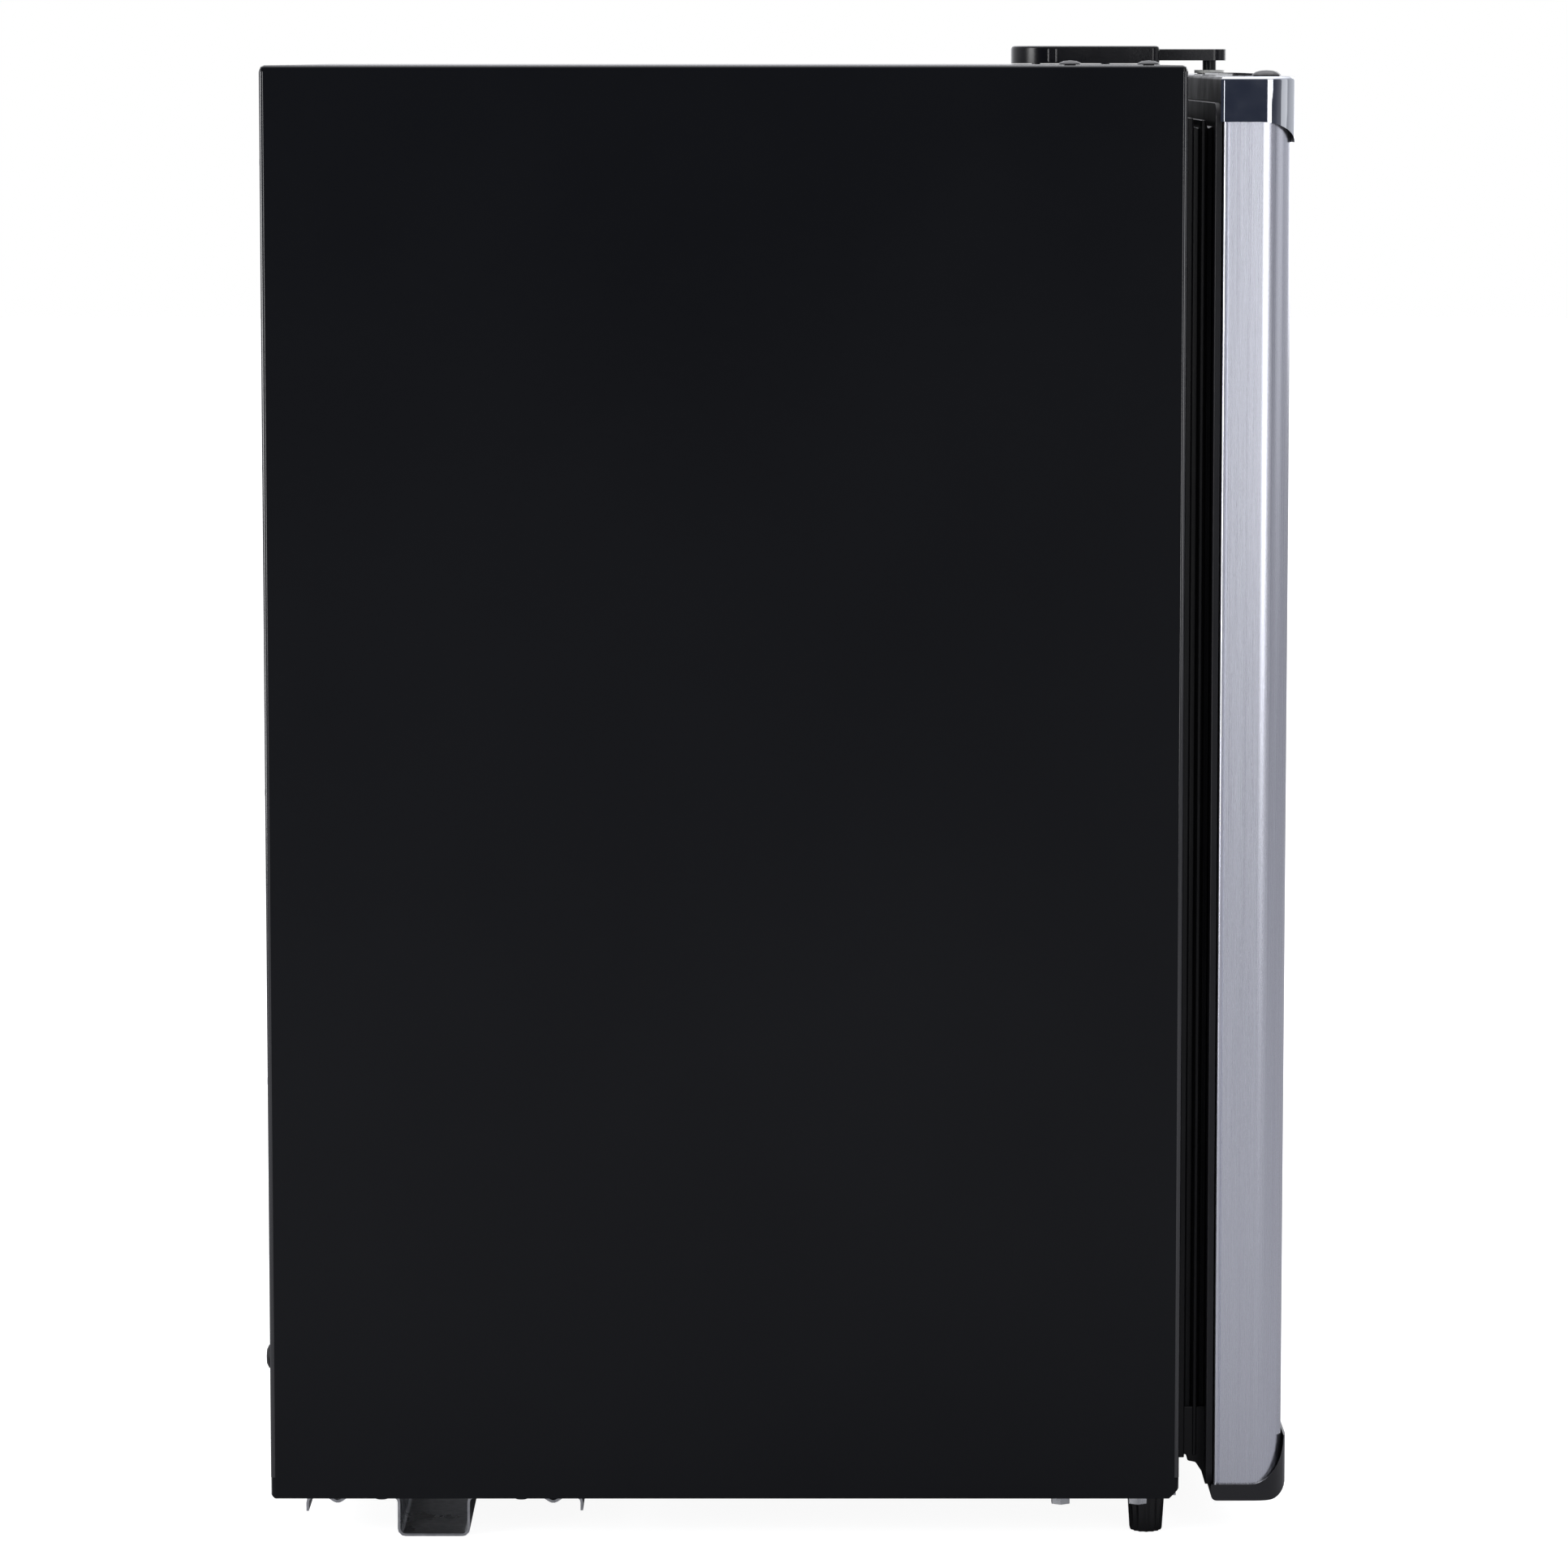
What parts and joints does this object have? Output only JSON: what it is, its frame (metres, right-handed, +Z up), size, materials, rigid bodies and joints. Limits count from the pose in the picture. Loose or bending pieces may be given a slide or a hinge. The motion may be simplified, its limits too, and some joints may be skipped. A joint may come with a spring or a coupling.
{
  "type": "mini fridge",
  "caption": "Free-standing compact refrigerator with a side-hinged steel door, inner freezer box with flap, glass shelves, door bins and an open compressor bay.",
  "frame": {"origin": "on the floor under the middle of the whole object's box", "axes": "+Z up; the door faces -Y and is hinged on the +X side; +Y is the back"},
  "size_m": [0.447, 0.4756, 0.6933],
  "materials": {
    "black_paint": "satin",
    "dark_paint": "satin",
    "zinc_steel": "satin",
    "brushed_steel": "satin",
    "chrome_plastic": "polished",
    "gloss_black_plastic": "gloss",
    "matte_black_plastic": "matte",
    "rubber": "matte",
    "white_plastic": "satin",
    "clear_plastic": "gloss",
    "shelf_glass": "gloss",
    "foam": "matte",
    "aluminium": "satin",
    "copper": "satin",
    "nylon": "satin"
  },
  "bodies": {
    "cabinet": {"cabinet_shell": "black_paint", "back_panel": "black_paint", "bottom_plate": "zinc_steel", "insulation_foam": "foam", "inner_liner": "white_plastic", "condenser_coil": "dark_paint", "compressor_base_plate": "zinc_steel", "compressor_lower_shell": "dark_paint", "compressor_upper_shell": "dark_paint", "compressor_grommet_1": "rubber", "compressor_grommet_2": "rubber", "compressor_grommet_3": "rubber", "compressor_grommet_4": "rubber", "relay_cover": "matte_black_plastic", "suction_tube": "copper", "discharge_tube": "copper", "filter_drier": "copper", "cord_gland": "matte_black_plastic", "rear_bumper_left": "rubber", "rear_bumper_right": "rubber", "freezer_box": "aluminium", "freezer_frame": "white_plastic", "thermostat_housing": "white_plastic", "top_hinge_bracket": "zinc_steel", "top_hinge_pin": "matte_black_plastic", "top_hinge_screw_front": "zinc_steel", "top_hinge_screw_rear": "zinc_steel", "top_hinge_cover": "matte_black_plastic", "bottom_hinge_bracket": "zinc_steel", "bottom_hinge_pin": "zinc_steel", "bottom_hinge_bolt_front": "zinc_steel", "bottom_hinge_bolt_rear": "zinc_steel", "left_bolt_front": "zinc_steel", "left_bolt_rear": "zinc_steel", "top_plug_front": "gloss_black_plastic", "top_plug_rear": "gloss_black_plastic", "base_screw_front": "zinc_steel", "base_screw_rear": "zinc_steel"},
    "foot_left": {"foot_left": "matte_black_plastic"},
    "foot_right": {"foot_right": "matte_black_plastic"},
    "freezer_flap": {"freezer_flap": "white_plastic"},
    "drip_tray": {"drip_tray": "clear_plastic"},
    "thermostat_knob": {"thermostat_knob": "white_plastic"},
    "upper_shelf": {"upper_shelf": "shelf_glass", "upper_shelf_trim": "white_plastic"},
    "lower_shelf": {"lower_shelf": "shelf_glass", "lower_shelf_trim": "white_plastic"},
    "door": {"door_panel": "brushed_steel", "door_top_cap": "chrome_plastic", "handle_insert": "gloss_black_plastic", "door_bottom_cap": "gloss_black_plastic", "door_foam": "foam", "door_liner": "gloss_black_plastic", "door_gasket": "rubber", "spare_hinge_plug": "gloss_black_plastic", "upper_hinge_bush": "nylon", "lower_hinge_bush": "nylon"},
    "lower_bin": {"lower_bin": "clear_plastic"},
    "middle_bin": {"middle_bin": "clear_plastic"},
    "upper_bin": {"upper_bin": "clear_plastic"}
  },
  "joints": [
    {"name": "door_swing", "type": "hinge", "parent": "cabinet", "child": "door", "pos_m": [0.2035, -0.22445, 0], "axis": [0, 0, 1], "range_deg": [0, 120]},
    {"name": "freezer_flap_swing", "type": "hinge", "parent": "cabinet", "child": "freezer_flap", "pos_m": [0, -0.089, 0.619], "axis": [-1, 0, 0], "range_deg": [0, 85]},
    {"name": "thermostat_turn", "type": "hinge", "parent": "cabinet", "child": "thermostat_knob", "pos_m": [0.14935, -0.07, 0.595], "axis": [0, 1, 0], "range_deg": [-135, 135]},
    {"name": "upper_shelf_slide", "type": "slide", "parent": "cabinet", "child": "upper_shelf", "axis": [0, -1, 0], "range_m": [0, 0.07]},
    {"name": "lower_shelf_slide", "type": "slide", "parent": "cabinet", "child": "lower_shelf", "axis": [0, -1, 0], "range_m": [0, 0.07]},
    {"name": "drip_tray_slide", "type": "slide", "parent": "cabinet", "child": "drip_tray", "axis": [0, -1, 0], "range_m": [0, 0.07]},
    {"name": "lower_bin_lift", "type": "slide", "parent": "door", "child": "lower_bin", "axis": [0, 0, 1], "range_m": [0, 0.02]},
    {"name": "middle_bin_lift", "type": "slide", "parent": "door", "child": "middle_bin", "axis": [0, 0, 1], "range_m": [0, 0.02]},
    {"name": "upper_bin_lift", "type": "slide", "parent": "door", "child": "upper_bin", "axis": [0, 0, 1], "range_m": [0, 0.02]},
    {"name": "foot_left_screw", "type": "slide", "parent": "cabinet", "child": "foot_left", "axis": [0, 0, -1], "range_m": [0, 0.01]},
    {"name": "foot_right_screw", "type": "slide", "parent": "cabinet", "child": "foot_right", "axis": [0, 0, -1], "range_m": [0, 0.01]}
  ]
}
